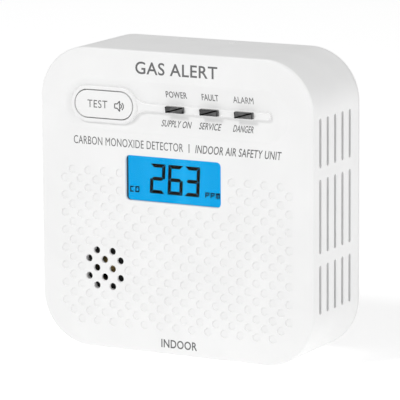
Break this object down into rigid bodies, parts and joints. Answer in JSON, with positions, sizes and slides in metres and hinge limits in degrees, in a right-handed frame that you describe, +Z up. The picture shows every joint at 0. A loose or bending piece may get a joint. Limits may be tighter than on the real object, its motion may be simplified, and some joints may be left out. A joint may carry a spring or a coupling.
{
  "type": "carbon monoxide detector",
  "caption": "Square wall-mounted carbon monoxide detector with rounded corners, test button, status lights, backlit display, dimpled front and twist-on wall bracket.",
  "frame": {"origin": "bottom centre of the object's bounding box", "axes": "+Z up, +X to the right seen from the front, +Y from the front face towards the wall"},
  "size_m": [0.1, 0.0348, 0.1],
  "materials": {
    "casing_white": "fine satin moulded ABS",
    "bracket_white": "moulded ABS, slightly greyer",
    "button_white": "smooth satin cap",
    "switch_black": "black moulded nylon",
    "lens_clear": "clear acrylic window",
    "foam_dark": "dark closed-cell foam",
    "display_azure": "backlit blue film",
    "lcd_glass": "thin display glass",
    "diffuser": "milky light guide",
    "lamp_clear": "small lamp bodies",
    "contact_rubber": "conductive silicone strips",
    "carrier_white": "moulded carrier",
    "board_green": "solder resist over glass fibre board",
    "sounder_grey": "grey moulded sounder",
    "disc_brass": "brass disc",
    "plated_steel": "nickel plate",
    "sensor_plastic": "black sensor base and filter cap",
    "sensor_metal": "drawn metal can",
    "chip_black": "black epoxy",
    "capacitor_sleeve": "dark blue sleeve",
    "coil_copper": "enamelled copper on a drum core",
    "cell_jacket": "foil jacket over a steel can",
    "zinc_screw": "zinc plated",
    "label_paper": "silver film label",
    "smoked_clear": "smoked clear acrylic"
  },
  "bodies": {
    "housing": {"front_cover": "casing_white", "rear_cover": "casing_white", "display_lens": "lens_clear", "display_gasket": "foam_dark", "lcd_polarizer": "display_azure", "lcd_front_glass": "lcd_glass", "lcd_rear_glass": "lcd_glass", "backlight_guide": "diffuser", "backlight_leds": "lamp_clear", "zebra_strips": "contact_rubber", "lcd_frame": "carrier_white", "main_board": "board_green", "sounder_seal": "foam_dark", "sounder_housing": "sounder_grey", "sounder_disc": "disc_brass", "sounder_pins": "plated_steel", "co_sensor_base": "sensor_plastic", "co_sensor_can": "sensor_metal", "co_sensor_cap": "sensor_plastic", "microcontroller": "chip_black", "capacitors": "capacitor_sleeve", "boost_coil": "coil_copper", "crystal_can": "sensor_metal", "chip_resistors": "chip_black", "driver_transistors": "chip_black", "battery_upper": "cell_jacket", "battery_lower": "cell_jacket", "contact_negative": "plated_steel", "contact_positive": "plated_steel", "contact_bridge": "plated_steel", "battery_springs": "plated_steel", "case_screws": "zinc_screw", "board_screws": "zinc_screw", "rating_label": "label_paper", "light_pipe_power": "smoked_clear", "light_pipe_fault": "smoked_clear", "light_pipe_alarm": "smoked_clear", "led_power": "lamp_clear", "led_fault": "lamp_clear", "led_alarm": "lamp_clear", "switch_body": "switch_black"},
    "button": {"test_button": "button_white"},
    "plunger": {"switch_plunger": "switch_black"},
    "bracket": {"mounting_bracket": "bracket_white"}
  },
  "joints": [
    {"name": "button_press", "type": "slide", "parent": "housing", "child": "button", "axis": [0, 1, 0], "range_m": [0, 0.0005], "stiffness_N_per_m": 3000},
    {"name": "plunger_press", "type": "slide", "parent": "housing", "child": "plunger", "axis": [0, 1, 0], "range_m": [0, 0.0006]},
    {"name": "bracket_twist", "type": "hinge", "parent": "housing", "child": "bracket", "pos_m": [0, 0.0159, 0.05], "axis": [0, 1, 0], "range_deg": [0, 15]}
  ],
  "couplings": [
    {"joint": "plunger_press", "follows": "button_press", "ratio": 1}
  ]
}
